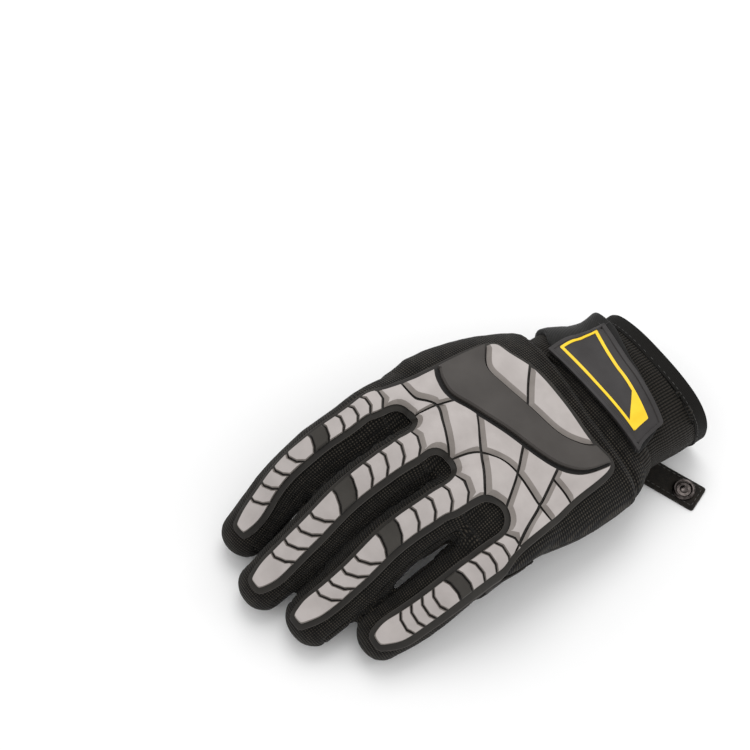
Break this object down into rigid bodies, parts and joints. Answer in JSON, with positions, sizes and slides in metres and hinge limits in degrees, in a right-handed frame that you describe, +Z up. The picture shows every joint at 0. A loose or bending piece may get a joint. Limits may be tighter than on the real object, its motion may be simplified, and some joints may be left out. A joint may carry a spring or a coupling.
{
  "type": "recovery glove",
  "caption": "Left work glove lying palm down, with raised rubber knuckle and finger armour, a short stretch cuff, a wrist strap and a pull tab with a snap.",
  "frame": {"origin": "on the surface that the glove lies on, under the middle of its bounding box", "axes": "+Z up, the fingers point along -Y, the cuff opens along +Y, the thumb side is -X"},
  "size_m": [0.1153, 0.1958, 0.0609],
  "materials": {
    "knit": "black ribbed stretch knit",
    "suede": "black brushed synthetic suede",
    "leather": "smooth satin black leather",
    "light_rubber": "matt warm grey moulded rubber",
    "dark_rubber": "satin dark grey moulded rubber",
    "label_rubber": "satin dark grey rubber with a yellow frame",
    "binding": "plain black elastic band",
    "webbing": "black hook strap",
    "black_nickel": "polished black nickel"
  },
  "bodies": {
    "root": {"index_middle_fourchette": "knit", "middle_ring_fourchette": "knit", "ring_pinky_fourchette": "knit", "back_panel": "knit", "palm_panel": "suede", "index_tip_cap": "leather", "finger_base_overlay": "suede", "palm_patch": "leather", "thumb_back": "knit", "thumb_front": "suede", "thumb_tip_cap": "leather", "knuckle_guard": "light_rubber", "back_band": "dark_rubber", "index_saddle": "dark_rubber", "middle_saddle": "dark_rubber", "ring_saddle": "dark_rubber", "pinky_saddle": "dark_rubber", "cuff": "knit", "cuff_binding": "binding", "wrist_strap": "webbing", "strap_label": "label_rubber", "pull_tab": "suede", "snap": "black_nickel"}
  },
  "joints": []
}
